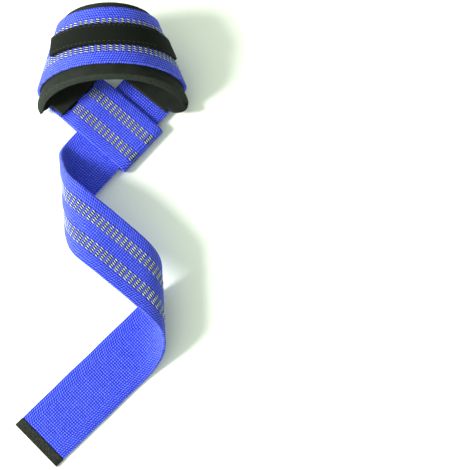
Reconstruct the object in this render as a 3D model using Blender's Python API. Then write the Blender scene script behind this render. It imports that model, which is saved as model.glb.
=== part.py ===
"""Padded weightlifting strap, one of a pair, lying on a table.

One long strip of flat webbing makes the whole strap. Its first end is folded into an eye,
the strip then goes once round the wrist as the cuff, passes through the eye, and runs out
as a long tail that lies in one loose turn. A thick pad lines the cuff, a tape closure is
sewn over the cuff's top, and a black tip closes the tail's cut end.

Metres, +Z up. The strap lies on z = 0, its length is along Y, and the cuff is at the +Y end.
Places along the webbing are lengths from the top of the cuff's arch, negative towards the
eye and positive towards the tail's tip.
"""

import math

import bpy
import bmesh
import numpy as np

# Webbing
WEB_WIDTH = 0.038
WEB_THICK = 0.0024
CLEARANCE = 0.0004          # between sewn or stacked layers

# Cuff
CUFF_HALF = 0.1243          # from the top of the arch to the middle of the crossing
CUFF_LEAN = -0.8            # degrees, the arch's top leans back
CUFF_SWING = 2.05           # degrees, the cuff's turn on the table

# Eye at the webbing's first end
EYE_SLACK = 0.0003          # spare height that lets the tail slide through
EYE_STEP_SHARE = 0.80       # share of the room between tail and pad where the top layer steps down

# Tail
TAIL_TURN = 0.2200          # from the crossing to where the tail lies flat again
TAIL_FLAT = 0.0828
TAIL_SLANT = 45.3           # degrees between a bend line and square across, where the turn starts
TAIL_SLANT_END = 41.0       # the same where it ends, adjusted until the tail lies flat

# Pad, wider than the webbing, with a narrower tab at each end that is sewn under it
PAD_NEAR = 0.0280           # from the webbing's middle to the near edge of the pad's inner face
PAD_FAR = 0.0250            # and to the far edge
PAD_BEVEL = 0.0022          # its outer face stops short by this, as the edges are cut slanting
PAD_THICK = 0.0050
PAD_TO_TAIL = 0.0136        # from the pad's first end to the tail's edge
PAD_TO_EYE = 0.0096         # from the pad's other end to the eye's edge
TAB_HALF = 0.0176           # half the width of the tabs
TAB_EYE = 0.0110            # length of the tab at the eye's side
TAB_TAIL = 0.0022           # and of the one at the tail's side
SHOULDER_EYE = 0.0045       # length of the rounded shoulders between tab and pad
SHOULDER_TAIL = 0.0070

# Tape closure over the cuff's top, its ends as shares of CUFF_HALF
TAPE_WIDTH = 0.0138
TAPE_THICK = 0.0011
TAPE_CORNER = 0.0045
TAPE_START_SHARE = -0.34
TAPE_END_SHARE = 0.46
FLAP_END_SHARE = 0.29

# Black tip, folded over the tail's end
TIP_LENGTH = 0.0065
TIP_WALL = 0.0006

# Mesh of the bent solids
ROW_CURVED = 0.0036
ROW_FLAT = 0.0090
ROW_TIGHT = 0.0011
EYE_ROW = 0.0022
WEB_COLUMNS = 8
TAPE_COLUMNS = 4
FINE_STEP = 0.0005          # step of the bent middle line that the rows are read from

# The cuff, both halves alike: place as a share of the half's length, bend in degrees for one
# CUFF_HALF of length, and slant in degrees of the bend line.
CUFF_BENDS = (
    # place, bend, slant
    (0.00, 179, 0),
    (0.15, 203, 9.7),
    (0.28, 138, 18),
    (0.38, 171, 27),
    (0.47, 428, 35),
    (0.56, 409, 19.5),
    (0.65, 350, 4.2),
    (0.73, 0, -4.4),
)
CURL_SHARE = 0.33           # bends past this place are adjusted until the cuff closes

# The tail's turn: place as a share of TAIL_TURN and bend in degrees for one TAIL_TURN.
TAIL_BENDS = (
    # place, bend
    (0.150, 0),
    (0.235, 1193),
    (0.320, -32),
    (0.405, 678),
    (0.490, 372),
    (0.575, -11),
    (0.660, 122),
    (0.745, 739),
    (0.830, 553),
    (0.915, 586),
    (1.000, 0),
)
TAIL_TOP_SHARE = 0.575      # bends before this place lift the tail, those past it lower it

# Colours, linear
BLUE = (0.022, 0.050, 0.700, 1.0)
BLACK = (0.012, 0.013, 0.012, 1.0)
PAD_GREY = (0.030, 0.034, 0.030, 1.0)
TIP_BLACK = (0.010, 0.010, 0.010, 1.0)

# Worked out from the sizes above
EYE_RADIUS = WEB_THICK + CLEARANCE + EYE_SLACK / 2
EYE_DROP = 2 * EYE_RADIUS - (WEB_THICK + CLEARANCE)
TURN_START = CUFF_HALF + TAIL_BENDS[0][0] * TAIL_TURN
TURN_END = CUFF_HALF + TAIL_TURN
TAIL_END = TURN_END + TAIL_FLAT
TIP_START = TAIL_END - TIP_LENGTH
PAD_END = CUFF_HALF - WEB_WIDTH / 2 - PAD_TO_EYE
CUFF_TABLE = np.array(CUFF_BENDS, dtype=float)
TAIL_TABLE = np.array(TAIL_BENDS, dtype=float)


def stations(start, end, step):
    """Evenly spaced places from start to end, no further apart than step."""
    count = max(2, math.ceil(abs(end - start) / step) + 1)
    return np.linspace(start, end, count)


def turned(vector, axis, angle):
    """The vector turned about a unit axis."""
    cosine = math.cos(angle)
    sine = math.sin(angle)
    return vector * cosine + np.cross(axis, vector) * sine + axis * (axis @ vector) * (1 - cosine)


def follow(places, bends, slants, frame):
    """Bend a flat strip about slanted lines, from the first place to the last.

    bends are radians a metre, and frame holds the strip's along, across and outward
    directions at the first place. Returns the middle line and the frame at each place.
    """
    points = [np.zeros(3)]
    frames = [frame]
    for index in range(len(places) - 1):
        along, across, _ = frames[-1]
        step = places[index + 1] - places[index]
        slant = (slants[index] + slants[index + 1]) / 2
        angle = (bends[index] + bends[index + 1]) / 2 * step
        line = across * math.cos(slant) + along * math.sin(slant)
        points.append(points[-1] + turned(along, line, angle / 2) * step)
        frames.append(np.array([turned(axis, line, angle) for axis in frames[-1]]))
    return np.array(points), np.array(frames)


def newton(misfit, guess, rounds=8, nudge=1e-6):
    """Adjust the guess until every entry of misfit is zero."""
    values = np.array(guess, dtype=float)
    for _ in range(rounds):
        miss = misfit(values)
        slope = np.empty((len(miss), len(values)))
        for column in range(len(values)):
            moved = values.copy()
            moved[column] += nudge
            slope[:, column] = (misfit(moved) - miss) / nudge
        values = values - np.linalg.lstsq(slope, miss, rcond=1e-9)[0]
    return values


def arch_frame(lean, roll):
    """Directions at the arch's top: along is +X, across +Y and outward +Z, then leant."""
    frame = np.eye(3)
    for axis, angle in ((1, roll), (0, lean), (2, math.radians(CUFF_SWING))):
        frame = np.array([turned(row, np.eye(3)[axis], angle) for row in frame])
    return frame


def half_cuff(side, half, curl, skew):
    """Places, bends and slants of one half of the cuff, side 1 towards the tail or -1."""
    places = stations(0, side * half, FINE_STEP)
    shares = np.abs(places) / half
    bends = np.radians(np.interp(shares, CUFF_TABLE[:, 0], CUFF_TABLE[:, 1])) / CUFF_HALF
    bends[shares > CURL_SHARE] *= curl
    slants = np.radians(np.interp(shares, CUFF_TABLE[:, 0], CUFF_TABLE[:, 2]))
    return places, bends, -side * skew * slants


def cuff_misfit(values):
    """How far the cuff's two ends are from lying flat, one just above the other."""
    lean, roll, curl_tail, curl_eye, skew_tail, skew_eye, stretch = values
    frame = arch_frame(lean, roll)
    tail_points, tail_frames = follow(*half_cuff(1, CUFF_HALF, curl_tail, skew_tail), frame)
    eye_points, eye_frames = follow(*half_cuff(-1, CUFF_HALF * stretch, curl_eye, skew_eye), frame)
    apart = tail_points[-1] - eye_points[-1]
    apart[2] -= WEB_THICK + CLEARANCE
    return np.concatenate([apart / CUFF_HALF, tail_frames[-1][2][:2], eye_frames[-1][2][:2]])


def tail_turn(lift, lower, slant_end):
    """Places, bends and slants of the tail's turn."""
    places = stations(CUFF_HALF, TURN_END, FINE_STEP)
    shares = (places - CUFF_HALF) / TAIL_TURN
    bends = np.radians(np.interp(shares, TAIL_TABLE[:, 0], TAIL_TABLE[:, 1])) / TAIL_TURN
    bends *= np.where(shares < TAIL_TOP_SHARE, lift, lower)
    slants = np.interp(places, [TURN_START, TURN_END], [TAIL_SLANT, slant_end])
    return places, bends, -np.radians(slants)


def plain_run(start, end, bend=0.0):
    """A straight run, or one arc of an even bend."""
    places = stations(start, end, FINE_STEP)
    return places, np.full_like(places, bend), np.zeros_like(places)


def laid(runs, knots, slants, side, frame):
    """Bend the runs in turn, with slants read between knots: places, slants, line and frames."""
    places = np.concatenate([run[0] for run in runs])
    bends = np.concatenate([run[1] for run in runs])
    lines = -side * np.radians(np.interp(np.abs(places), knots, slants))
    points, frames = follow(places, bends, lines, frame)
    return places, lines, points, frames


def bent_webbing():
    """The webbing's middle line in its place, from the eye's cut end to the tail's tip."""
    first = [math.radians(CUFF_LEAN), 0, 1, 1, 1, 1, 1]
    lean, roll, curl_tail, curl_eye, skew_tail, skew_eye, stretch = newton(cuff_misfit, first)
    frame = arch_frame(lean, roll)
    half_eye = CUFF_HALF * stretch
    cuff_tail = half_cuff(1, CUFF_HALF, curl_tail, skew_tail)
    cuff_eye = half_cuff(-1, half_eye, curl_eye, skew_eye)
    crossing = follow(*cuff_tail, frame)[1][-1]
    under = follow(*cuff_eye, frame)[1][-1]

    def tail_misfit(values):
        points, frames = follow(*tail_turn(*values), crossing)
        height = points[-1][2] + WEB_THICK + CLEARANCE
        return np.array([height / TAIL_TURN, frames[-1][2][0], frames[-1][2][1]])

    lift, lower, slant_end = newton(tail_misfit, [1, 1, TAIL_SLANT_END])
    turn = tail_turn(lift, lower, slant_end)

    # The fold lies along the tail's edge, so it stands off by the strips' true angle.
    skewed = abs(crossing[0] @ under[0])
    reach = WEB_WIDTH / 2 * (1 + skewed) / math.sqrt(1 - skewed ** 2) + CLEARANCE
    fold_start = half_eye + reach
    fold_end = fold_start + math.pi * EYE_RADIUS
    pad_start = half_eye - WEB_WIDTH / 2 - PAD_TO_TAIL
    room = fold_start - pad_start - CLEARANCE - 2 * reach
    run = EYE_STEP_SHARE * room
    step_turn = 2 * math.atan(EYE_DROP / run)
    step_radius = run / (2 * math.sin(step_turn))
    step_arc = step_radius * step_turn
    step_start = fold_end + 2 * reach
    step_end = step_start + 2 * step_arc
    eye_end = step_end + room - run

    tail_side = laid(
        [cuff_tail, turn, plain_run(TURN_END, TAIL_END)],
        [*(CUFF_TABLE[:, 0] * CUFF_HALF), TURN_START, TURN_END, TIP_START],
        [*(CUFF_TABLE[:, 2] * skew_tail), TAIL_SLANT, slant_end, 0],
        1, frame)
    eye_side = laid(
        [
            cuff_eye,
            plain_run(-half_eye, -fold_start),
            plain_run(-fold_start, -fold_end, 1 / EYE_RADIUS),
            plain_run(-fold_end, -step_start),
            plain_run(-step_start, -step_start - step_arc, 1 / step_radius),
            plain_run(-step_start - step_arc, -step_end, -1 / step_radius),
            plain_run(-step_end, -eye_end),
        ],
        [*(CUFF_TABLE[:, 0] * half_eye), fold_start],
        [*(CUFF_TABLE[:, 2] * skew_eye), 0],
        -1, frame)
    places, slants, points, frames = (
        np.concatenate([eye[:0:-1], tail]) for eye, tail in zip(eye_side, tail_side))
    points = points + np.array([0, 0, WEB_THICK / 2 - points[-1][2]])
    return {
        "places": places,
        "slants": slants,
        "points": points,
        "frames": frames,
        "start": -eye_end,
        "step_end": -step_end,
        "step_start": -step_start,
        "fold_end": -fold_end,
        "fold_start": -fold_start,
        "pad_start": -pad_start,
    }


def spot(strip, places, across, lift):
    """Points of the strip at flat places along and across it, lifted off its middle."""
    across = np.broadcast_to(across, np.shape(places))
    slopes = np.tan(strip["slants"])
    at = np.array([
        np.interp(place, strip["places"] + side * slopes, strip["places"])
        for place, side in zip(places, across)])

    def read(values):
        return np.stack([np.interp(at, strip["places"], column) for column in values.T], axis=1)

    points = read(strip["points"])
    along = read(strip["frames"][:, 0])
    square = read(strip["frames"][:, 1])
    out = read(strip["frames"][:, 2])
    rest = (np.asarray(places) - at)[:, None]
    return points + along * rest + square * across[:, None] + out * np.reshape(lift, (-1, 1))


def material(name, colour, roughness):
    """A plain material of one colour."""
    made = bpy.data.materials.new(name)
    made.use_nodes = True
    shader = made.node_tree.nodes["Principled BSDF"]
    shader.inputs["Base Color"].default_value = colour
    shader.inputs["Roughness"].default_value = roughness
    shader.inputs["Metallic"].default_value = 0.0
    return made


def bent_slab(name, strip, rows, columns, low, high, finish, high_columns=None):
    """A closed slab that follows the strip.

    rows holds one array of places for each column, columns the places across, one for each
    column or one for each of its rows, and low and high the slab's faces as lifts off the
    strip's middle, one for each row or one for all. high_columns are the high face's columns
    where they aren't the low one's.
    """
    count = len(rows[0])
    body = bmesh.new()
    sheets = []
    for lift, sides in ((low, columns), (high, high_columns or columns)):
        lifts = np.broadcast_to(lift, count)
        lines = [spot(strip, line, across, lifts) for line, across in zip(rows, sides)]
        sheets.append([[body.verts.new(point) for point in line] for line in lines])
    lower, upper = sheets
    last = len(columns) - 1
    for column in range(last):
        for row in range(count - 1):
            for sheet, turn in ((upper, 1), (lower, -1)):
                corners = [
                    sheet[column][row],
                    sheet[column][row + 1],
                    sheet[column + 1][row + 1],
                    sheet[column + 1][row],
                ]
                body.faces.new(corners[::turn])
        for row, turn in ((0, 1), (count - 1, -1)):
            corners = [
                lower[column][row],
                upper[column][row],
                upper[column + 1][row],
                lower[column + 1][row],
            ]
            body.faces.new(corners[::turn])
    for row in range(count - 1):
        for column, turn in ((0, 1), (last, -1)):
            corners = [
                lower[column][row],
                lower[column][row + 1],
                upper[column][row + 1],
                upper[column][row],
            ]
            body.faces.new(corners[::turn])
    bmesh.ops.recalc_face_normals(body, faces=body.faces)
    mesh = bpy.data.meshes.new(name)
    body.to_mesh(mesh)
    body.free()
    mesh.materials.append(finish)
    piece = bpy.data.objects.new(name, mesh)
    bpy.context.scene.collection.objects.link(piece)
    return piece


def rows_through(*marks):
    """Places through the marks, each given with the spacing up to the next."""
    runs = []
    for (start, step), (end, _) in zip(marks, marks[1:]):
        runs.append(stations(start, end, step)[:-1])
    return np.concatenate(runs + [[marks[-1][0]]])


def pad_marks(strip):
    """Places where the pad's tabs and shoulders start and end, from the eye to the tail."""
    start = strip["pad_start"]
    tab_end = start + TAB_EYE
    tab_start = PAD_END - TAB_TAIL
    return start, tab_end, tab_end + SHOULDER_EYE, tab_start - SHOULDER_TAIL, tab_start, PAD_END


def web_rows(strip):
    """Places of the webbing's rows, from the eye's cut end to the tip."""
    pad = zip(pad_marks(strip), (ROW_CURVED, ROW_TIGHT, ROW_CURVED, ROW_TIGHT, ROW_TIGHT, ROW_FLAT))
    return rows_through(
        (strip["start"], EYE_ROW),
        (strip["step_start"], ROW_FLAT),
        (strip["fold_end"], ROW_TIGHT),
        (strip["fold_start"], ROW_FLAT),
        *pad,
        (TURN_START - WEB_WIDTH / 2, ROW_CURVED),
        (TURN_END + WEB_WIDTH / 2, ROW_FLAT),
        (TIP_START - CLEARANCE, 0),
    )


def web_columns():
    """Places across of the webbing's columns."""
    return np.linspace(-WEB_WIDTH / 2, WEB_WIDTH / 2, WEB_COLUMNS + 1)


def make_webbing(strip, finish):
    """The whole strip, thinned at its end to a tongue inside the tip."""
    rows = web_rows(strip)
    tongue_end = TAIL_END - TIP_WALL - CLEARANCE
    tongue = WEB_THICK / 2 - TIP_WALL - CLEARANCE
    half = np.append(np.full(len(rows), WEB_THICK / 2), [tongue, tongue])
    rows = np.append(rows, [rows[-1], tongue_end])
    columns = web_columns()
    return bent_slab("webbing", strip, [rows] * len(columns), columns, -half, half, finish)


def pad_columns(body, bevel):
    """The pad's columns, as wide as body says between the tabs' width and the full one."""
    web = web_columns()
    edge = (TAB_HALF + web[-2]) / 2
    wide = [-PAD_NEAR + bevel, *web, PAD_FAR - bevel]
    tab = [-TAB_HALF, -edge, *web[1:-1], edge, TAB_HALF]
    return [narrow + (full - narrow) * body for narrow, full in zip(tab, wide)]


def make_pad(strip, finish):
    """The pad on the cuff's inner side, with a tab at each end.

    Its rows and columns are the webbing's, so that the two stay a clearance apart.
    """
    start, tab_end, eye_full, tail_full, tab_start, end = pad_marks(strip)
    rows = web_rows(strip)
    rows = rows[(rows > start - FINE_STEP) & (rows < end + FINE_STEP)]
    share = np.interp(rows, [tab_end, eye_full, tail_full, tab_start], [0, 1, 1, 0])
    body = np.sqrt(share * (2 - share))
    high = -(WEB_THICK / 2 + CLEARANCE)
    return bent_slab(
        "neoprene_pad", strip, [rows] * (WEB_COLUMNS + 3), pad_columns(body, 0),
        high - PAD_THICK, high, finish, pad_columns(body, PAD_BEVEL))


def make_tape(name, strip, end_share, layer, finish):
    """One tape of the closure, with a rounded end, in layer 0 on the webbing or 1 above it."""
    start = TAPE_START_SHARE * CUFF_HALF
    end = end_share * CUFF_HALF
    half = TAPE_WIDTH / 2
    columns = half * np.sin(np.linspace(-math.pi / 2, math.pi / 2, TAPE_COLUMNS + 1))
    even = rows_through((start, ROW_CURVED), (end - TAPE_CORNER, ROW_TIGHT), (end, 0))
    shares = (even - start) / (end - start)
    rows = []
    for across in columns:
        inside = max(0.0, abs(across) - (half - TAPE_CORNER))
        cut = TAPE_CORNER - math.sqrt(TAPE_CORNER ** 2 - inside ** 2)
        rows.append(start + shares * (end - cut - start))
    low = WEB_THICK / 2 + CLEARANCE + layer * (TAPE_THICK + CLEARANCE)
    return bent_slab(name, strip, rows, columns, low, low + TAPE_THICK, finish)


def make_tip(strip, finish):
    """The tip: a tape folded over the tongue, open along both of its sides."""
    outer = WEB_THICK / 2
    inner = outer - TIP_WALL
    wall = TAIL_END - TIP_WALL
    outline = (
        (TIP_START, -outer),
        (TAIL_END, -outer),
        (TAIL_END, outer),
        (TIP_START, outer),
        (TIP_START, inner),
        (wall, inner),
        (wall, -inner),
        (TIP_START, -inner),
    )
    places = np.array([place for place, _ in outline])
    lifts = np.array([lift for _, lift in outline])
    body = bmesh.new()
    ends = []
    for across in (-WEB_WIDTH / 2, WEB_WIDTH / 2):
        ends.append([body.verts.new(point) for point in spot(strip, places, across, lifts)])
    near, far = ends
    count = len(outline)
    for index in range(count):
        after = (index + 1) % count
        body.faces.new((near[index], near[after], far[after], far[index]))
    body.faces.new(near[::-1])
    body.faces.new(far)
    bmesh.ops.recalc_face_normals(body, faces=body.faces)
    mesh = bpy.data.meshes.new("end_tip")
    body.to_mesh(mesh)
    body.free()
    mesh.materials.append(finish)
    piece = bpy.data.objects.new("end_tip", mesh)
    bpy.context.scene.collection.objects.link(piece)
    return piece


def centred(pieces):
    """Move the meshes so that the strap is centred over the origin."""
    corners = np.array([vertex.co for piece in pieces for vertex in piece.data.vertices])
    middle = (corners.min(axis=0) + corners.max(axis=0)) / 2
    for piece in pieces:
        for vertex in piece.data.vertices:
            vertex.co.x -= middle[0]
            vertex.co.y -= middle[1]


def main():
    for old in list(bpy.data.objects):
        bpy.data.objects.remove(old, do_unlink=True)
    strip = bent_webbing()
    cotton = material("cotton_webbing", BLUE, 0.85)
    neoprene = material("neoprene", PAD_GREY, 0.9)
    tape = material("closure_tape", BLACK, 0.8)
    tip = material("tip_tape", TIP_BLACK, 0.6)
    centred([
        make_webbing(strip, cotton),
        make_pad(strip, neoprene),
        make_tape("closure_base", strip, TAPE_END_SHARE, 0, tape),
        make_tape("closure_flap", strip, FLAP_END_SHARE, 1, tape),
        make_tip(strip, tip),
    ])


main()
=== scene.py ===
"""Looks of a padded weightlifting strap, one of a pair, lying on a pale table.

Metres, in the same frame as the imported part: +Z up, the table at z = 0, the cuff at the +Y
end. Places along the webbing are lengths from the top of the cuff's arch, negative towards
the eye and positive towards the tail's tip.
"""

import math

import bpy
import numpy as np
from mathutils import Matrix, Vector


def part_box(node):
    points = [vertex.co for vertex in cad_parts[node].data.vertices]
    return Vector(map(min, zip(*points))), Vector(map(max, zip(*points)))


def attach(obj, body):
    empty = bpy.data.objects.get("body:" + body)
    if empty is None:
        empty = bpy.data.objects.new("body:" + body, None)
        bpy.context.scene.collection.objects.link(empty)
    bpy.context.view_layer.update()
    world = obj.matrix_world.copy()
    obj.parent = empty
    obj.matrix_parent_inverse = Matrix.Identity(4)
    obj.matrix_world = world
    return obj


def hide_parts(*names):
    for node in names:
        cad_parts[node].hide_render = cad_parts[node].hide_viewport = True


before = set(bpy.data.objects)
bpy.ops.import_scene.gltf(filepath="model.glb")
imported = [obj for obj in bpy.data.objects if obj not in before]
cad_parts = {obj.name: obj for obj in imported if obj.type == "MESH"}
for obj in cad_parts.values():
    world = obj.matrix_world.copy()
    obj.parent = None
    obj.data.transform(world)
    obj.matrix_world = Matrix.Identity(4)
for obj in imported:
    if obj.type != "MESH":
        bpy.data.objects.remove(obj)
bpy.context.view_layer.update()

# The webbing
# One strip of heavy cotton webbing, 38 mm wide, dyed royal blue and woven as a thick rib.
# Folded into an eye at its first end, it goes once round the wrist, through the eye, and on
# as a tail in one loose turn. The woven-in stripes are on its outer face only.
WEB_WIDTH = 0.038
WEB_THICK = 0.0024
CLEARANCE = 0.0004
CUFF_HALF = 0.1243
CUFF_LEAN = -0.8
CUFF_SWING = 2.05
EYE_SLACK = 0.0003
EYE_STEP_SHARE = 0.80
TAIL_TURN = 0.2200
TAIL_FLAT = 0.0828
TAIL_SLANT = 45.3
TAIL_SLANT_END = 41.0
PAD_TO_TAIL = 0.0136
TIP_LENGTH = 0.0065
FINE_STEP = 0.0005
CUFF_TABLE = np.array((
    # place as a share of the half cuff, bend in degrees for its length, slant in degrees
    (0.00, 179, 0),
    (0.15, 203, 9.7),
    (0.28, 138, 18),
    (0.38, 171, 27),
    (0.47, 428, 35),
    (0.56, 409, 19.5),
    (0.65, 350, 4.2),
    (0.73, 0, -4.4),
), dtype=float)
CURL_SHARE = 0.33
TAIL_TABLE = np.array((
    # place as a share of the tail's turn, bend in degrees for its length
    (0.150, 0),
    (0.235, 1193),
    (0.320, -32),
    (0.405, 678),
    (0.490, 372),
    (0.575, -11),
    (0.660, 122),
    (0.745, 739),
    (0.830, 553),
    (0.915, 586),
    (1.000, 0),
), dtype=float)
TAIL_TOP_SHARE = 0.575
EYE_RADIUS = WEB_THICK + CLEARANCE + EYE_SLACK / 2
EYE_DROP = 2 * EYE_RADIUS - (WEB_THICK + CLEARANCE)
TURN_START = CUFF_HALF + TAIL_TABLE[0, 0] * TAIL_TURN
TURN_END = CUFF_HALF + TAIL_TURN
TAIL_END = TURN_END + TAIL_FLAT
TIP_START = TAIL_END - TIP_LENGTH


def stations(start, end, step):
    """Evenly spaced places from start to end, no further apart than step."""
    count = max(2, math.ceil(abs(end - start) / step) + 1)
    return np.linspace(start, end, count)


def turned(vector, axis, angle):
    """The vector turned about a unit axis."""
    cosine = math.cos(angle)
    sine = math.sin(angle)
    return vector * cosine + np.cross(axis, vector) * sine + axis * (axis @ vector) * (1 - cosine)


def follow(places, bends, slants, start_frame):
    """The middle line and frames of a flat strip bent about slanted lines."""
    points = [np.zeros(3)]
    frames = [start_frame]
    for index in range(len(places) - 1):
        along, across, _ = frames[-1]
        step = places[index + 1] - places[index]
        slant = (slants[index] + slants[index + 1]) / 2
        angle = (bends[index] + bends[index + 1]) / 2 * step
        line = across * math.cos(slant) + along * math.sin(slant)
        points.append(points[-1] + turned(along, line, angle / 2) * step)
        frames.append(np.array([turned(axis, line, angle) for axis in frames[-1]]))
    return np.array(points), np.array(frames)


def settle(misfit, guess, rounds=8, nudge=1e-6):
    """Adjust the guess until every entry of misfit is zero."""
    values = np.array(guess, dtype=float)
    for _ in range(rounds):
        miss = misfit(values)
        slope = np.empty((len(miss), len(values)))
        for column in range(len(values)):
            moved = values.copy()
            moved[column] += nudge
            slope[:, column] = (misfit(moved) - miss) / nudge
        values = values - np.linalg.lstsq(slope, miss, rcond=1e-9)[0]
    return values


def arch_frame(lean, roll):
    """Directions at the arch's top: along is +X, across +Y and outward +Z, then leant."""
    turning = np.eye(3)
    for axis, angle in ((1, roll), (0, lean), (2, math.radians(CUFF_SWING))):
        turning = np.array([turned(row, np.eye(3)[axis], angle) for row in turning])
    return turning


def half_cuff(side, half, curl, skew):
    """Places, bends and slants of one half of the cuff, side 1 towards the tail or -1."""
    places = stations(0, side * half, FINE_STEP)
    shares = np.abs(places) / half
    bends = np.radians(np.interp(shares, CUFF_TABLE[:, 0], CUFF_TABLE[:, 1])) / CUFF_HALF
    bends[shares > CURL_SHARE] *= curl
    slants = np.radians(np.interp(shares, CUFF_TABLE[:, 0], CUFF_TABLE[:, 2]))
    return places, bends, -side * skew * slants


def cuff_misfit(values):
    """How far the cuff's two ends are from lying flat, one just above the other."""
    lean, roll, curl_tail, curl_eye, skew_tail, skew_eye, stretch = values
    arch = arch_frame(lean, roll)
    tail_points, tail_frames = follow(*half_cuff(1, CUFF_HALF, curl_tail, skew_tail), arch)
    eye_points, eye_frames = follow(*half_cuff(-1, CUFF_HALF * stretch, curl_eye, skew_eye), arch)
    apart = tail_points[-1] - eye_points[-1]
    apart[2] -= WEB_THICK + CLEARANCE
    return np.concatenate([apart / CUFF_HALF, tail_frames[-1][2][:2], eye_frames[-1][2][:2]])


def tail_turn(lift, lower, slant_end):
    """Places, bends and slants of the tail's turn."""
    places = stations(CUFF_HALF, TURN_END, FINE_STEP)
    shares = (places - CUFF_HALF) / TAIL_TURN
    bends = np.radians(np.interp(shares, TAIL_TABLE[:, 0], TAIL_TABLE[:, 1])) / TAIL_TURN
    bends *= np.where(shares < TAIL_TOP_SHARE, lift, lower)
    slants = np.interp(places, [TURN_START, TURN_END], [TAIL_SLANT, slant_end])
    return places, bends, -np.radians(slants)


def plain_run(start, end, bend=0.0):
    """A straight run, or one arc of an even bend."""
    places = stations(start, end, FINE_STEP)
    return places, np.full_like(places, bend), np.zeros_like(places)


def laid(runs, knots, slants, side, start_frame):
    """Bend the runs in turn, with slants read between knots."""
    places = np.concatenate([run[0] for run in runs])
    bends = np.concatenate([run[1] for run in runs])
    lines = -side * np.radians(np.interp(np.abs(places), knots, slants))
    points, frames = follow(places, bends, lines, start_frame)
    return places, lines, points, frames


def bent_webbing():
    """The webbing's middle line, from the eye's cut end to the tail's tip."""
    first = [math.radians(CUFF_LEAN), 0, 1, 1, 1, 1, 1]
    lean, roll, curl_tail, curl_eye, skew_tail, skew_eye, stretch = settle(cuff_misfit, first)
    arch = arch_frame(lean, roll)
    half_eye = CUFF_HALF * stretch
    cuff_tail = half_cuff(1, CUFF_HALF, curl_tail, skew_tail)
    cuff_eye = half_cuff(-1, half_eye, curl_eye, skew_eye)
    crossing = follow(*cuff_tail, arch)[1][-1]
    under = follow(*cuff_eye, arch)[1][-1]

    def tail_misfit(values):
        points, frames = follow(*tail_turn(*values), crossing)
        height = points[-1][2] + WEB_THICK + CLEARANCE
        return np.array([height / TAIL_TURN, frames[-1][2][0], frames[-1][2][1]])

    lift, lower, slant_end = settle(tail_misfit, [1, 1, TAIL_SLANT_END])
    turn = tail_turn(lift, lower, slant_end)
    skewed = abs(crossing[0] @ under[0])
    reach = WEB_WIDTH / 2 * (1 + skewed) / math.sqrt(1 - skewed ** 2) + CLEARANCE
    fold_start = half_eye + reach
    fold_end = fold_start + math.pi * EYE_RADIUS
    pad_start = half_eye - WEB_WIDTH / 2 - PAD_TO_TAIL
    room = fold_start - pad_start - CLEARANCE - 2 * reach
    run = EYE_STEP_SHARE * room
    step_turn = 2 * math.atan(EYE_DROP / run)
    step_radius = run / (2 * math.sin(step_turn))
    step_arc = step_radius * step_turn
    step_start = fold_end + 2 * reach
    step_end = step_start + 2 * step_arc
    eye_end = step_end + room - run
    tail_side = laid(
        [cuff_tail, turn, plain_run(TURN_END, TAIL_END)],
        [*(CUFF_TABLE[:, 0] * CUFF_HALF), TURN_START, TURN_END, TIP_START],
        [*(CUFF_TABLE[:, 2] * skew_tail), TAIL_SLANT, slant_end, 0],
        1, arch)
    eye_side = laid(
        [
            cuff_eye,
            plain_run(-half_eye, -fold_start),
            plain_run(-fold_start, -fold_end, 1 / EYE_RADIUS),
            plain_run(-fold_end, -step_start),
            plain_run(-step_start, -step_start - step_arc, 1 / step_radius),
            plain_run(-step_start - step_arc, -step_end, -1 / step_radius),
            plain_run(-step_end, -eye_end),
        ],
        [*(CUFF_TABLE[:, 0] * half_eye), fold_start],
        [*(CUFF_TABLE[:, 2] * skew_eye), 0],
        -1, arch)
    places, slants, points, frames = (
        np.concatenate([eye[:0:-1], tail]) for eye, tail in zip(eye_side, tail_side))
    points = points + np.array([0, 0, WEB_THICK / 2 - points[-1][2]])
    return {
        "places": places,
        "slants": slants,
        "points": points,
        "frames": frames,
        "start": -eye_end,
        "pad_start": -pad_start,
    }


strip = bent_webbing()


def spot(places, across, lift):
    """Points of the strip at flat places along and across it and at lifts off its middle.

    Returns the points and the directions along, across and out of the face there.
    """
    places, across, lift = np.broadcast_arrays(places, across, lift)
    slopes = np.tan(strip["slants"])
    at = np.empty(places.shape)
    for side in np.unique(across):
        here = across == side
        at[here] = np.interp(places[here], strip["places"] + side * slopes, strip["places"])

    def read(values):
        return np.stack([np.interp(at, strip["places"], column) for column in values.T], axis=1)

    along = read(strip["frames"][:, 0])
    square = read(strip["frames"][:, 1])
    out = read(strip["frames"][:, 2])
    points = read(strip["points"])
    points = points + along * (places - at)[:, None] + square * across[:, None] + out * lift[:, None]
    return points, along, square, out


# The tip's corners are the same in both, so they put the strip where the CAD part is
tip_low = np.array(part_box("end_tip")[0])
tip_corners = np.concatenate([
    spot(np.array([TIP_START, TAIL_END]), across, 0.0)[0]
    for across in (-WEB_WIDTH / 2, WEB_WIDTH / 2)])
strip["points"][:, :2] += tip_low[:2] - tip_corners[:, :2].min(axis=0)

# The UV map "lay" and the weave's lengths are in millimetres on the flat strip, and only
# the bead's height is in metres
MM = 1000
BEAD_ACROSS = 1.55
BEAD_ALONG = 1.60
RIB_WANDER = 0.8
BORDER_SLANT = 0.32
STRIPE_MIDDLE = 7.6
STRIPE_HALF = 3.65
STRIPE_BLUR = 0.2
GROUP_STEP = 3.86
GROUND_SHARE = 0.33
BAR_SHARE = 0.40
# Painted highlight on each bead's top and painted shade in the gaps between the beads
BEAD_PAINTED_HIGHLIGHT = 1.25
GAP_PAINTED_SHADE = -0.28
MOTTLE_LIGHT = 0.35
ODD_LIGHT = 0.7
FUZZ_HEIGHT = 0.25
BEAD_HEIGHT = 0.0005
# Ends of the blue: painted shade with the darker random tone, painted highlight with the paler one
BLUE_SHADE_AND_DARK_TONE = "#0206B4"
BLUE_HIGHLIGHT_AND_PALE_TONE = "#5A6EFF"
BLUE_BAR = "#4A56F4"
GROUND_BLACK = "#03050F"


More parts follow.
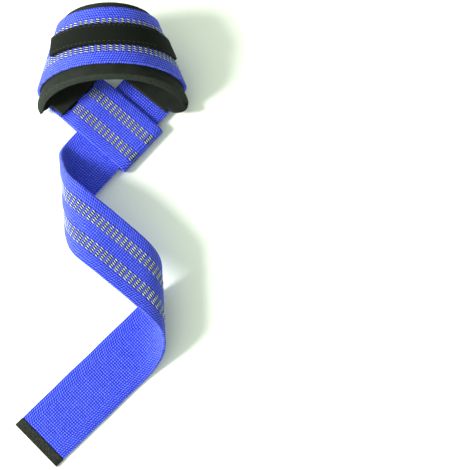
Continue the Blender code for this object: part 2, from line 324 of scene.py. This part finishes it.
def slab(name, places, profile, finish, cut_finish=None):
    """A closed slab swept along the strip.

    profile is a loop of (across, lift, cut), where across and lift are one number or one
    for each place, and cut marks the points of a cut edge. The slab's UV map holds
    millimetres across and along, and its attribute "outer" is 1 on the outer face and 0 on
    the inner one. Faces between cut points take cut_finish.
    """
    count = len(places)
    sides = len(profile)
    acrosses = np.stack([across * np.ones(count) for across, _, _ in profile], axis=1)
    lifts = np.stack([lift * np.ones(count) for _, lift, _ in profile], axis=1)
    corners = spot(np.repeat(places, sides), acrosses.ravel(), lifts.ravel())[0]
    faces = []
    for row in range(count - 1):
        for side in range(sides):
            after = (side + 1) % sides
            near = row * sides
            far = near + sides
            faces.append((near + side, near + after, far + after, far + side))
    faces.append(tuple(range(sides))[::-1])
    faces.append(tuple(range((count - 1) * sides, count * sides)))
    mesh = bpy.data.meshes.new(name)
    mesh.from_pydata(corners.tolist(), [], faces)
    mesh.polygons.foreach_set("use_smooth", [True] * (len(faces) - 2) + [False, False])
    mesh.materials.append(finish)
    if cut_finish:
        mesh.materials.append(cut_finish)
        cut = [profile[side][2] and profile[(side + 1) % sides][2] for side in range(sides)]
        mesh.polygons.foreach_set("material_index", [int(mark) for mark in cut] * (count - 1) + [1, 1])
    outer = lifts > lifts.mean(axis=1, keepdims=True)
    marks = mesh.attributes.new("outer", "FLOAT", "POINT")
    marks.data.foreach_set("value", outer.ravel().astype(float))
    flat = np.stack([acrosses.ravel() * MM, np.repeat(places * MM, sides)], axis=1)
    corner_of = np.zeros(len(mesh.loops), dtype=np.int32)
    mesh.loops.foreach_get("vertex_index", corner_of)
    mesh.uv_layers.new(name="lay").data.foreach_set("uv", flat[corner_of].ravel())
    made = bpy.data.objects.new(name, mesh)
    bpy.context.scene.collection.objects.link(made)
    return made


def shade(colour):
    """A hex sRGB colour as linear RGBA."""
    parts = [int(colour[place:place + 2], 16) / 255 for place in (1, 3, 5)]
    linear = [part / 12.92 if part < 0.04045 else ((part + 0.055) / 1.055) ** 2.4 for part in parts]
    return linear + [1.0]


def put(tree, kind, sockets=None, **settings):
    """Adds a node with its settings, and a value or a link for each socket."""
    node = tree.nodes.new(kind)
    for name, value in settings.items():
        setattr(node, name, value)
    for socket, value in (sockets or {}).items():
        if isinstance(value, bpy.types.NodeSocket):
            tree.links.new(value, node.inputs[socket])
        else:
            node.inputs[socket].default_value = value
    return node


def cloth(name, roughness, specular=0.5, sheen=0.0, haze=0.5):
    """A material with its gloss, its node tree and its shader, but no colour yet."""
    made = bpy.data.materials.new(name)
    made.use_nodes = True
    shader = made.node_tree.nodes["Principled BSDF"]
    shader.inputs["Roughness"].default_value = roughness
    shader.inputs["Specular IOR Level"].default_value = specular
    shader.inputs["Sheen Weight"].default_value = sheen
    shader.inputs["Sheen Roughness"].default_value = haze
    return made, made.node_tree, shader


def cotton_webbing():
    """Cotton webbing: piece-dyed spun cotton in a thick rib weave. Each thread shows as a
    small round bead, with a painted highlight on its top and painted shade in the gaps, and
    nothing in it is glossy. The real beads are about 1.3 mm apart, and are drawn a little
    coarser so that they show."""
    made, tree, shader = cloth("dyed cotton webbing", 0.85, specular=0.25, sheen=0.16, haze=0.45)
    lay = put(tree, "ShaderNodeUVMap", uv_map="lay").outputs[0]
    flat = put(tree, "ShaderNodeSeparateXYZ", {0: lay})
    across, along = flat.outputs[0], flat.outputs[1]

    # Beads in ribs across the strip, which wander a little and slant in the two borders
    wander = put(tree, "ShaderNodeTexNoise", {"Vector": lay, "Scale": 0.22, "Detail": 1.0}).outputs[0]
    wander = put(tree, "ShaderNodeMath", {0: wander, 1: RIB_WANDER}, operation="MULTIPLY").outputs[0]
    column = put(
        tree, "ShaderNodeMath", {0: across, 1: 1 / BEAD_ACROSS, 2: wander},
        operation="MULTIPLY_ADD").outputs[0]
    row = put(
        tree, "ShaderNodeMath", {0: along, 1: 1 / BEAD_ALONG, 2: wander},
        operation="MULTIPLY_ADD").outputs[0]
    off_middle = put(tree, "ShaderNodeMath", {0: across}, operation="ABSOLUTE").outputs[0]
    border = put(
        tree, "ShaderNodeMath", {0: off_middle, 1: STRIPE_MIDDLE + STRIPE_HALF},
        operation="SUBTRACT").outputs[0]
    border = put(tree, "ShaderNodeMath", {0: border, 1: 0.0}, operation="MAXIMUM").outputs[0]
    row = put(
        tree, "ShaderNodeMath", {0: border, 1: BORDER_SLANT, 2: row},
        operation="MULTIPLY_ADD").outputs[0]
    waves = []
    for value in (column, row):
        angle = put(tree, "ShaderNodeMath", {0: value, 1: math.pi}, operation="MULTIPLY").outputs[0]
        sine = put(tree, "ShaderNodeMath", {0: angle}, operation="SINE").outputs[0]
        waves.append(put(tree, "ShaderNodeMath", {0: sine}, operation="ABSOLUTE").outputs[0])
    bead = put(tree, "ShaderNodeMath", {0: waves[0], 1: waves[1]}, operation="MULTIPLY").outputs[0]

    # The stripes, on the outer face: a dark ground under each group of threads, and a
    # narrow blue bar between two groups
    outward = put(tree, "ShaderNodeAttribute", attribute_name="outer").outputs["Fac"]
    off_stripe = put(
        tree, "ShaderNodeMath", {0: off_middle, 1: STRIPE_MIDDLE}, operation="SUBTRACT").outputs[0]
    off_stripe = put(tree, "ShaderNodeMath", {0: off_stripe}, operation="ABSOLUTE").outputs[0]
    in_stripe = put(tree, "ShaderNodeMapRange", {
        "Value": off_stripe, 1: STRIPE_HALF - STRIPE_BLUR, 2: STRIPE_HALF + STRIPE_BLUR,
        3: 1.0, 4: 0.0}).outputs[0]
    striped = put(tree, "ShaderNodeMath", {0: in_stripe, 1: outward}, operation="MULTIPLY").outputs[0]
    group = put(tree, "ShaderNodeMath", {0: along, 1: GROUP_STEP}, operation="DIVIDE").outputs[0]
    group = put(tree, "ShaderNodeMath", {0: group}, operation="FRACT").outputs[0]
    off_group = put(tree, "ShaderNodeMath", {0: group, 1: 0.5}, operation="SUBTRACT").outputs[0]
    off_group = put(tree, "ShaderNodeMath", {0: off_group}, operation="ABSOLUTE").outputs[0]
    on_ground = put(tree, "ShaderNodeMapRange", {
        "Value": off_group, 1: GROUND_SHARE, 2: BAR_SHARE, 3: 1.0, 4: 0.0}).outputs[0]
    ground = put(tree, "ShaderNodeMix", {
        "Factor": on_ground, 6: shade(BLUE_BAR), 7: shade(GROUND_BLACK)}, data_type="RGBA").outputs[2]

    # Blue with a painted highlight on the beads and painted shade in the gaps, mottled, and different
    # from bead to bead
    mottle = put(tree, "ShaderNodeTexNoise", {"Vector": lay, "Scale": 0.35, "Detail": 4.0}).outputs[0]
    counts = [
        put(tree, "ShaderNodeMath", {0: value}, operation="FLOOR").outputs[0]
        for value in (column, row)]
    cell = put(tree, "ShaderNodeCombineXYZ", {0: counts[0], 1: counts[1]}).outputs[0]
    odd = put(tree, "ShaderNodeTexWhiteNoise", {"Vector": cell}, noise_dimensions="2D").outputs["Value"]
    odd = put(tree, "ShaderNodeMath", {0: odd, 1: bead}, operation="MULTIPLY").outputs[0]
    # The bead's lighter top is painted highlight and its darker gaps painted shade; the mottle and the
    # bead-to-bead tone are the cotton's own
    painted_light_and_tone = put(
        tree, "ShaderNodeMath", {0: bead, 1: BEAD_PAINTED_HIGHLIGHT, 2: GAP_PAINTED_SHADE},
        operation="MULTIPLY_ADD").outputs[0]
    for value, weight in ((mottle, MOTTLE_LIGHT), (odd, ODD_LIGHT)):
        painted_light_and_tone = put(
            tree, "ShaderNodeMath", {0: value, 1: weight, 2: painted_light_and_tone},
            operation="MULTIPLY_ADD").outputs[0]
    blue = put(tree, "ShaderNodeMix", {
        "Factor": painted_light_and_tone, 6: shade(BLUE_SHADE_AND_DARK_TONE), 7: shade(BLUE_HIGHLIGHT_AND_PALE_TONE)}, data_type="RGBA").outputs[2]
    colour = put(
        tree, "ShaderNodeMix", {"Factor": striped, 6: blue, 7: ground}, data_type="RGBA").outputs[2]
    tree.links.new(colour, shader.inputs["Base Color"])

    # Bumps of the beads, with a little fuzz on them
    fuzz = put(tree, "ShaderNodeTexNoise", {"Vector": lay, "Scale": 3.0, "Detail": 3.0}).outputs[0]
    height = put(
        tree, "ShaderNodeMath", {0: fuzz, 1: FUZZ_HEIGHT, 2: bead},
        operation="MULTIPLY_ADD").outputs[0]
    bump = put(tree, "ShaderNodeBump", {"Strength": 1.0, "Distance": BEAD_HEIGHT, "Height": height})
    tree.links.new(bump.outputs[0], shader.inputs["Normal"])
    return made


# Rows close enough for each selvedge loop, 1.35 mm long, to show along both edges, which
# also wander a little. In the tip's binding the cloth is thinner, so that it stays inside.
LOOP = 0.00135
LOOP_DEPTH = 0.00012
EDGE = 0.0009
EDGE_INSET = 0.00010
EDGE_WANDER = 0.00008
WANDER_LONG = 0.047
WANDER_SHORT = 0.029
WANDER_SHIFT = 1.3
BOUND_SHARE = 0.25
WEB_COLUMNS = 9
web_places = stations(strip["start"], TAIL_END - EDGE, LOOP / 3)
web_half = WEB_WIDTH / 2
loops = np.cos(web_places * 2 * math.pi / LOOP)
wander = (np.sin(web_places * 2 * math.pi / WANDER_LONG)
          + np.sin(web_places * 2 * math.pi / WANDER_SHORT + WANDER_SHIFT))
thin = np.where(web_places > TIP_START - CLEARANCE, BOUND_SHARE, 1.0)
web_profile = []
for side, turns in ((1, (-90, -60, -30, 0, 30, 60, 90)), (-1, (90, 120, 150, 180, 210, 240, 270))):
    for turn in np.radians(turns):
        reach = abs(math.cos(turn))
        swing = side * reach * (LOOP_DEPTH * loops - EDGE_INSET + EDGE_WANDER * wander)
        across = side * (web_half - EDGE * (1 - reach)) + swing
        web_profile.append((across, WEB_THICK / 2 * math.sin(turn) * thin, False))
    for share in np.linspace(1, -1, WEB_COLUMNS)[1:-1]:
        web_profile.append((side * share * (web_half - EDGE), side * WEB_THICK / 2 * thin, False))
webbing = slab("webbing_cloth", web_places, web_profile, cotton_webbing())
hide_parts("webbing")
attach(webbing, "root")

# The grip threads
# Five light polyester threads side by side in each of the two stripes. They float over the
# cotton for 2.9 mm, dip under a blue bar and come up again, all along the outer face.
THREAD_STEP = GROUP_STEP / MM
THREAD_PITCH = 0.00147
THREAD_LENGTH = 0.0029
THREAD_WIDTH = 0.00058
THREAD_HEIGHT = 0.0006
THREAD_LEAN = math.radians(-11)
THREAD_WAVER = 0.05
THREAD_ROOM_SHARE = 0.56
LEAST_GROWN = (0.90, 0.85, 0.85)
MOST_GROWN = (1.06, 1.12, 1.1)
SEED = 3


def thread_tree(name):
    """A tree that lays one short thread on each point, along its attribute "along"."""
    tree = bpy.data.node_groups.new(name, "GeometryNodeTree")
    face = tree.interface
    face.new_socket("Geometry", in_out="OUTPUT", socket_type="NodeSocketGeometry")
    face.new_socket("Geometry", in_out="INPUT", socket_type="NodeSocketGeometry")
    for title in ("Length", "Width", "Height", "Lean", "Waver"):
        face.new_socket(title, in_out="INPUT", socket_type="NodeSocketFloat")
    face.new_socket("Finish", in_out="INPUT", socket_type="NodeSocketMaterial")
    given = put(tree, "NodeGroupInput").outputs

    # The thread: a ball turned with its poles at the ends and drawn out to its size
    ball = put(tree, "GeometryNodeMeshUVSphere", {"Segments": 8, "Rings": 5, "Radius": 0.5})
    lying = put(tree, "GeometryNodeTransform", {
        "Geometry": ball.outputs["Mesh"], "Rotation": (0, math.pi / 2, 0)})
    size = put(tree, "ShaderNodeCombineXYZ", {
        0: given["Length"], 1: given["Width"], 2: given["Height"]})
    thread = put(tree, "GeometryNodeTransform", {
        "Geometry": lying.outputs[0], "Scale": size.outputs[0]})

    # Along the strip and square to it, swung about its own upright by the lean and a waver
    along, out = (
        put(tree, "GeometryNodeInputNamedAttribute", {"Name": title}, data_type="FLOAT_VECTOR")
        for title in ("along", "out"))
    facing = put(
        tree, "FunctionNodeAlignRotationToVector", {"Vector": along.outputs[0]}, axis="X")
    facing = put(
        tree, "FunctionNodeAlignRotationToVector",
        {"Rotation": facing.outputs[0], "Vector": out.outputs[0]}, axis="Z", pivot_axis="X")
    least = put(
        tree, "ShaderNodeMath", {0: given["Lean"], 1: given["Waver"]}, operation="SUBTRACT")
    most = put(tree, "ShaderNodeMath", {0: given["Lean"], 1: given["Waver"]}, operation="ADD")
    swing = put(
        tree, "FunctionNodeRandomValue",
        {2: least.outputs[0], 3: most.outputs[0], "Seed": SEED}, data_type="FLOAT")
    turn = put(tree, "ShaderNodeCombineXYZ", {2: swing.outputs[1]})
    facing = put(
        tree, "FunctionNodeRotateRotation",
        {0: facing.outputs[0], 1: turn.outputs[0]}, rotation_space="LOCAL")
    grown = put(
        tree, "FunctionNodeRandomValue",
        {0: LEAST_GROWN, 1: MOST_GROWN, "Seed": SEED}, data_type="FLOAT_VECTOR")

    spread = put(tree, "GeometryNodeInstanceOnPoints", {
        "Points": given["Geometry"], "Instance": thread.outputs[0],
        "Rotation": facing.outputs[0], "Scale": grown.outputs[0]})
    real = put(tree, "GeometryNodeRealizeInstances", {0: spread.outputs[0]})
    smooth = put(tree, "GeometryNodeSetShadeSmooth", {"Geometry": real.outputs[0]})
    done = put(tree, "GeometryNodeSetMaterial", {
        "Geometry": smooth.outputs[0], "Material": given["Finish"]})
    put(tree, "NodeGroupOutput", {0: done.outputs[0]})
    return tree


laid_threads = thread_tree("laid threads")


def threads(name, spots, finish, **sizes):
    """One thread on each spot, given as points, along and out, made a plain mesh."""
    points, along, out = spots
    seeds = bpy.data.meshes.new(name + "_seeds")
    seeds.from_pydata(points.tolist(), [], [])
    for title, values in (("along", along), ("out", out)):
        directions = seeds.attributes.new(title, "FLOAT_VECTOR", "POINT")
        directions.data.foreach_set("vector", values.ravel())
    carrier = bpy.data.objects.new(name + "_seeds", seeds)
    bpy.context.scene.collection.objects.link(carrier)
    grown = carrier.modifiers.new("threads", "NODES")
    grown.node_group = laid_threads
    given = dict(sizes, Finish=finish)
    for item in laid_threads.interface.items_tree:
        if item.in_out == "INPUT" and item.name in given:
            grown[item.identifier] = given[item.name]
    seen = carrier.evaluated_get(bpy.context.evaluated_depsgraph_get())
    mesh = bpy.data.meshes.new_from_object(seen)
    mesh.name = name
    bpy.data.objects.remove(carrier)
    made = bpy.data.objects.new(name, mesh)
    bpy.context.scene.collection.objects.link(made)
    return made


def spun_thread(name, light, dark, roughness):
    """Twisted thread: filaments that catch the light along their length."""
    made, tree, shader = cloth(name, roughness)
    place = put(tree, "ShaderNodeTexCoord").outputs["Object"]
    fleck = put(tree, "ShaderNodeTexNoise", {"Vector": place, "Scale": 900.0, "Detail": 2.0}).outputs[0]
    fleck = put(tree, "ShaderNodeMapRange", {"Value": fleck, 1: 0.35, 2: 0.65}).outputs[0]
    colour = put(tree, "ShaderNodeMix", {
        "Factor": fleck, 6: shade(dark), 7: shade(light)}, data_type="RGBA").outputs[2]
    tree.links.new(colour, shader.inputs["Base Color"])
    bump = put(tree, "ShaderNodeBump", {"Strength": 0.4, "Distance": 0.0002, "Height": fleck})
    tree.links.new(bump.outputs[0], shader.inputs["Normal"])
    return made


# Whole groups only, one in each step, and none below the table where the tail lies on it
first_group = math.ceil((strip["start"] + THREAD_LENGTH / 2 + CLEARANCE) / THREAD_STEP - 0.5)
last_group = math.floor((TIP_START - THREAD_LENGTH / 2) / THREAD_STEP - 0.5)
grip_places = (np.arange(first_group, last_group + 1) + 0.5) * THREAD_STEP
grip_spots = [[], [], []]
for side in (-1, 1):
    for thread in (-2, -1, 0, 1, 2):
        across = side * STRIPE_MIDDLE / MM + thread * THREAD_PITCH
        points, along, _, out = spot(grip_places, across, WEB_THICK / 2)
        room = THREAD_ROOM_SHARE * (THREAD_HEIGHT + np.abs(along[:, 2]) * THREAD_LENGTH)
        points[:, 2] = np.maximum(points[:, 2], room)
        for store, values in zip(grip_spots, (points, along, out)):
            store.append(values)
grip_spots = [np.concatenate(values) for values in grip_spots]
grip_threads = threads(
    "grip_threads", grip_spots, spun_thread("polyester grip thread", "#DDE5F3", "#95A1BE", 0.6),
    Length=THREAD_LENGTH, Width=THREAD_WIDTH, Height=THREAD_HEIGHT,
    Lean=THREAD_LEAN, Waver=THREAD_WAVER)
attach(grip_threads, "root")

# The pad
# A 5 mm sheet of black neoprene foam with knitted facings, sewn inside the cuff. It is wider
# than the webbing, with rounded shoulders and a narrower tab at each end that goes under the
# seam, and its edges are cut a little slanting, so the bare foam shows from above.
PAD_NEAR = 0.0280
PAD_FAR = 0.0250
PAD_BEVEL = 0.0022
PAD_THICK = 0.0050
PAD_ROUND = 0.0007
PAD_ROUND_CUT = 0.3 * PAD_ROUND
PAD_TO_EYE = 0.0096
PAD_STEP = 0.0006
PAD_COLUMNS = 15
TAB_HALF = 0.0176
TAB_EYE = 0.0110
TAB_TAIL = 0.0022
SHOULDER_EYE = 0.0045
SHOULDER_TAIL = 0.0070


def neoprene():
    """Neoprene foam with a knitted nylon facing: near black, soft and matt, with a faint
    cloth grain, and a little paler where the light grazes it."""
    made, tree, shader = cloth("knit-faced neoprene", 0.85, specular=0.15, sheen=0.03)
    lay = put(tree, "ShaderNodeUVMap", uv_map="lay").outputs[0]
    grain = put(tree, "ShaderNodeTexNoise", {"Vector": lay, "Scale": 1.6, "Detail": 5.0}).outputs[0]
    patch = put(tree, "ShaderNodeTexNoise", {"Vector": lay, "Scale": 0.12, "Detail": 2.0}).outputs[0]
    tone = put(tree, "ShaderNodeMath", {0: grain, 1: patch}, operation="ADD").outputs[0]
    tone = put(tree, "ShaderNodeMapRange", {"Value": tone, 1: 0.7, 2: 1.3}).outputs[0]
    colour = put(tree, "ShaderNodeMix", {
        "Factor": tone, 6: shade("#131612"), 7: shade("#20241F")}, data_type="RGBA").outputs[2]
    tree.links.new(colour, shader.inputs["Base Color"])
    bump = put(tree, "ShaderNodeBump", {"Strength": 0.5, "Distance": 0.0002, "Height": grain})
    tree.links.new(bump.outputs[0], shader.inputs["Normal"])
    return made


def bare_foam():
    """Cut edge of the foam: open cells, a little paler and greener than the facing."""
    made, tree, shader = cloth("cut neoprene foam", 0.95, specular=0.1)
    place = put(tree, "ShaderNodeTexCoord").outputs["Object"]
    cells = put(tree, "ShaderNodeTexNoise", {"Vector": place, "Scale": 1500.0, "Detail": 3.0}).outputs[0]
    tone = put(tree, "ShaderNodeMapRange", {"Value": cells, 1: 0.35, 2: 0.65}).outputs[0]
    colour = put(tree, "ShaderNodeMix", {
        "Factor": tone, 6: shade("#222621"), 7: shade("#363B36")}, data_type="RGBA").outputs[2]
    tree.links.new(colour, shader.inputs["Base Color"])
    return made


pad_start = strip["pad_start"]
pad_end = CUFF_HALF - WEB_WIDTH / 2 - PAD_TO_EYE
pad_places = stations(pad_start, pad_end, PAD_STEP)
body = np.interp(
    pad_places,
    [pad_start + TAB_EYE, pad_start + TAB_EYE + SHOULDER_EYE,
     pad_end - TAB_TAIL - SHOULDER_TAIL, pad_end - TAB_TAIL],
    [0, 1, 1, 0])
body = np.sqrt(body * (2 - body))
pad_top = -(WEB_THICK / 2 + CLEARANCE)


def pad_edge(side, full, bevel):
    """The pad's edge at each place: its full reach on the body, the tab's half width at the ends."""
    return side * (TAB_HALF + (full - bevel - TAB_HALF) * body)


pad_profile = []
for side, full in ((-1, PAD_NEAR), (1, PAD_FAR)):
    inner = pad_edge(side, full, 0)
    outer = pad_edge(side, full, PAD_BEVEL)
    corner = [
        (outer - side * PAD_ROUND, pad_top, False),
        (outer - side * PAD_ROUND_CUT, pad_top - PAD_ROUND_CUT, True),
    ]
    for depth in (0.2, 0.5, 0.8):
        corner.append((outer + (inner - outer) * depth, pad_top - PAD_THICK * depth, True))
    corner += [
        (inner - side * PAD_ROUND_CUT, pad_top - PAD_THICK + PAD_ROUND_CUT, True),
        (inner - side * PAD_ROUND, pad_top - PAD_THICK, False),
    ]
    pad_profile += corner if side < 0 else corner[::-1]
    for share in np.linspace(0, 1, PAD_COLUMNS)[1:-1]:
        near = pad_edge(-1, PAD_NEAR, 0 if side < 0 else PAD_BEVEL) + PAD_ROUND
        far = pad_edge(1, PAD_FAR, 0 if side < 0 else PAD_BEVEL) - PAD_ROUND
        across = near + (far - near) * (share if side < 0 else 1 - share)
        pad_profile.append((across, pad_top - (PAD_THICK if side < 0 else 0), False))
pad = slab("pad_foam", pad_places, pad_profile, neoprene(), bare_foam())
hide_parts("neoprene_pad")
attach(pad, "root")

# The closure
# Two black nylon tapes, one on the other, sewn over the top of the cuff. The lower one
# runs further down on the tail's side, and both have rounded ends and a row of stitches
# along each edge.
TAPE_WIDTH = 0.0138
TAPE_THICK = 0.0011
TAPE_CORNER = 0.0045
TAPE_START = -0.34 * CUFF_HALF
TAPE_END = 0.46 * CUFF_HALF
FLAP_END = 0.29 * CUFF_HALF
TAPE_STEP = 0.0012
TAPE_CORNER_STEP = 0.0003
TAPE_COLUMNS = 11
STITCH_LENGTH = 0.0022
STITCH_STEP = 0.0029
STITCH_WIDTH = 0.00045
STITCH_HEIGHT = 0.00035
STITCH_INSET = 0.0016
STITCH_WAVER = 0.06


def loop_tape():
    """Hook and loop tape: black nylon brushed into a dense matt pile with a faint grey haze."""
    made, tree, shader = cloth("brushed nylon tape", 0.9, specular=0.1, sheen=0.02)
    lay = put(tree, "ShaderNodeUVMap", uv_map="lay").outputs[0]
    pile = put(tree, "ShaderNodeTexNoise", {"Vector": lay, "Scale": 1.4, "Detail": 6.0}).outputs[0]
    tone = put(tree, "ShaderNodeMapRange", {"Value": pile, 1: 0.35, 2: 0.7}).outputs[0]
    colour = put(tree, "ShaderNodeMix", {
        "Factor": tone, 6: shade("#0B0E0B"), 7: shade("#171B17")}, data_type="RGBA").outputs[2]
    tree.links.new(colour, shader.inputs["Base Color"])
    bump = put(tree, "ShaderNodeBump", {"Strength": 0.6, "Distance": 0.0003, "Height": pile})
    tree.links.new(bump.outputs[0], shader.inputs["Normal"])
    return made


def tape_piece(name, end, layer, finish):
    """One tape with a rounded end, in layer 0 on the webbing or 1 above it."""
    low = WEB_THICK / 2 + CLEARANCE + layer * (TAPE_THICK + CLEARANCE)
    edge = TAPE_THICK / 2
    places = np.concatenate([
        stations(TAPE_START, end - TAPE_CORNER, TAPE_STEP)[:-1],
        stations(end - TAPE_CORNER, end, TAPE_CORNER_STEP)])
    into = np.clip((places - end + TAPE_CORNER) / TAPE_CORNER, 0, 1)
    half = TAPE_WIDTH / 2 - TAPE_CORNER * (1 - np.sqrt(1 - into ** 2))
    profile = []
    for side in (-1, 1):
        for turn in np.radians((-90, -45, 0, 45, 90)):
            across = side * (half - edge + edge * math.cos(turn))
            profile.append((across, low + edge + side * edge * math.sin(turn), False))
        for share in np.linspace(1, -1, TAPE_COLUMNS)[1:-1]:
            profile.append((side * share * (half - edge), low + edge + side * edge, False))
    return slab(name, places, profile, finish)


def stitch_rows(name, rows, finish):
    """Rows of stitches, each given as places, across, lift and whether it runs across."""
    sewn = [[], [], []]
    for places, across, lift, crosswise in rows:
        points, along, square, out = spot(places, across, lift)
        for store, values in zip(sewn, (points, square if crosswise else along, out)):
            store.append(values)
    sewn = [np.concatenate(values) for values in sewn]
    return threads(
        name, sewn, finish,
        Length=STITCH_LENGTH, Width=STITCH_WIDTH, Height=STITCH_HEIGHT, Waver=STITCH_WAVER)


tape_finish = loop_tape()
closure_lower = tape_piece("closure_lower_tape", TAPE_END, 0, tape_finish)
closure_upper = tape_piece("closure_upper_tape", FLAP_END, 1, tape_finish)
for tape, node in ((closure_lower, "closure_base"), (closure_upper, "closure_flap")):
    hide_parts(node)
    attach(tape, "root")
lower_top = WEB_THICK / 2 + CLEARANCE + TAPE_THICK
upper_top = lower_top + CLEARANCE + TAPE_THICK
first_stitch = STITCH_INSET + STITCH_LENGTH / 2
upper_places = np.arange(TAPE_START + first_stitch, FLAP_END - TAPE_CORNER, STITCH_STEP)
lower_places = np.arange(FLAP_END + first_stitch, TAPE_END - TAPE_CORNER, STITCH_STEP)
tape_rows = []
for side in (-1, 1):
    edge_row = side * (TAPE_WIDTH / 2 - STITCH_INSET)
    tape_rows.append((upper_places, edge_row, upper_top, False))
    tape_rows.append((lower_places, edge_row, lower_top, False))
sewing_thread = spun_thread("black sewing thread", "#262B25", "#141713", 0.7)
tape_stitches = stitch_rows("tape_stitches", tape_rows, sewing_thread)
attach(tape_stitches, "root")

# The tip
# A black woven tape folded over the tail's cut end and sewn through with one row of
# stitches, so that the cotton doesn't fray and the tip passes the eye easily.
TIP_ROUND = 0.0006


def tip_tape():
    """Polyester binding tape: black and tightly woven, with a soft, uneven sheen."""
    made, tree, shader = cloth("woven binding tape", 0.7, specular=0.2)
    lay = put(tree, "ShaderNodeUVMap", uv_map="lay").outputs[0]
    grain = put(tree, "ShaderNodeTexNoise", {"Vector": lay, "Scale": 0.9, "Detail": 4.0}).outputs[0]
    tone = put(tree, "ShaderNodeMapRange", {"Value": grain, 1: 0.35, 2: 0.7}).outputs[0]
    colour = put(tree, "ShaderNodeMix", {
        "Factor": tone, 6: shade("#030402"), 7: shade("#2E332B")}, data_type="RGBA").outputs[2]
    tree.links.new(colour, shader.inputs["Base Color"])
    bump = put(tree, "ShaderNodeBump", {"Strength": 0.5, "Distance": 0.0002, "Height": grain})
    tree.links.new(bump.outputs[0], shader.inputs["Normal"])
    return made


tip_profile = []
for side in (-1, 1):
    for turn in np.radians((-90, -45, 0, 45, 90)):
        across = side * (web_half - TIP_ROUND * (1 - math.cos(turn)))
        tip_profile.append((across, side * WEB_THICK / 2 * math.sin(turn), False))
    for share in np.linspace(1, -1, WEB_COLUMNS)[1:-1]:
        tip_profile.append((side * share * (web_half - TIP_ROUND), side * WEB_THICK / 2, False))
tip = slab("tip_binding", stations(TIP_START, TAIL_END, FINE_STEP), tip_profile, tip_tape())
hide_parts("end_tip")
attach(tip, "root")
tip_across = np.arange(-web_half + STITCH_STEP, web_half - STITCH_LENGTH, STITCH_STEP)
tip_place = np.full_like(tip_across, TIP_START + STITCH_INSET)
tip_row = (tip_place, tip_across, -WEB_THICK / 2, True)
tip_stitches = stitch_rows("tip_stitches", [tip_row], sewing_thread)
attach(tip_stitches, "root")

# The table, the light and the camera
# A plain white table under one lamp, to the left and a little to the near side, and a pale,
# slightly green fill that is stronger from the left, seen from above at the photograph's
# angle.
TABLE_HALF = 3.0
LAMP_PLACE = (-1.37, -0.25, 1.15)
LAMP_SIZE = 0.5
LAMP_POWER = 50.0
LAMP_COLOUR = (1.0, 0.98, 0.96)
FILL_COLOUR = "#EAF8E2"
FILL_LEFT = 1.85
FILL_RIGHT = 0.15
CAMERA_PLACE = (0.0853, -0.2964, 1.2381)
CAMERA_PITCH = math.radians(76.345)
CAMERA_ROLL = math.radians(-0.06)
PHOTO_PIXELS = 470
FOCAL_PIXELS = 1951.7
SENSOR_WIDTH = 36.0


def place_facing(made, right, up, back, place):
    """Puts an object at a place, with its own axes along right, up and back."""
    axes = Matrix(np.stack([right, up, back], axis=1).tolist())
    made.matrix_world = Matrix.Translation(place) @ axes.to_4x4()


white, tree, shader = cloth("white table", 0.9, specular=0.1)
grain = put(tree, "ShaderNodeTexNoise", {"Scale": 40.0}).outputs[0]
tint = put(tree, "ShaderNodeMix", {
    "Factor": grain, 6: shade("#F4F6F2"), 7: shade("#F7F8F5")}, data_type="RGBA").outputs[2]
tree.links.new(tint, shader.inputs["Base Color"])
table_mesh = bpy.data.meshes.new("table_top")
table_corners = [(x * TABLE_HALF, y * TABLE_HALF, 0) for x, y in ((-1, -1), (1, -1), (1, 1), (-1, 1))]
table_mesh.from_pydata(table_corners, [], [(0, 1, 2, 3)])
table_mesh.materials.append(white)
table_top = bpy.data.objects.new("table_top", table_mesh)
bpy.context.scene.collection.objects.link(table_top)

sky = bpy.data.worlds.new("fill")
sky.use_nodes = True
direction = put(sky.node_tree, "ShaderNodeTexCoord").outputs["Generated"]
sideways = put(sky.node_tree, "ShaderNodeSeparateXYZ", {0: direction}).outputs[0]
strength = put(sky.node_tree, "ShaderNodeMapRange", {
    "Value": sideways, 1: -1.0, 2: 1.0, 3: FILL_LEFT, 4: FILL_RIGHT}).outputs[0]
background = sky.node_tree.nodes["Background"]
background.inputs["Color"].default_value = shade(FILL_COLOUR)
sky.node_tree.links.new(strength, background.inputs["Strength"])
bpy.context.scene.world = sky

lamp_data = bpy.data.lights.new("lamp", "AREA")
lamp_data.shape = "DISK"
lamp_data.size = LAMP_SIZE
lamp_data.energy = LAMP_POWER
lamp_data.color = LAMP_COLOUR
lamp = bpy.data.objects.new("lamp", lamp_data)
bpy.context.scene.collection.objects.link(lamp)
lamp_back = np.array(LAMP_PLACE) / np.linalg.norm(LAMP_PLACE)
lamp_right = np.cross([0, 0, 1], lamp_back)
lamp_right /= np.linalg.norm(lamp_right)
lamp_up = np.cross(lamp_back, lamp_right)
place_facing(lamp, lamp_right, lamp_up, lamp_back, LAMP_PLACE)

right = np.array([1.0, 0.0, 0.0])
up = np.array([0.0, math.sin(CAMERA_PITCH), math.cos(CAMERA_PITCH)])
back = np.array([0.0, -math.cos(CAMERA_PITCH), math.sin(CAMERA_PITCH)])
camera_right = right * math.cos(CAMERA_ROLL) + up * math.sin(CAMERA_ROLL)
camera_up = up * math.cos(CAMERA_ROLL) - right * math.sin(CAMERA_ROLL)
lens = bpy.data.cameras.new("camera")
lens.sensor_width = SENSOR_WIDTH
lens.lens = FOCAL_PIXELS / PHOTO_PIXELS * SENSOR_WIDTH
camera = bpy.data.objects.new("camera", lens)
bpy.context.scene.collection.objects.link(camera)
place_facing(camera, camera_right, camera_up, back, CAMERA_PLACE)
bpy.context.scene.camera = camera
bpy.context.scene.view_settings.view_transform = "Standard"
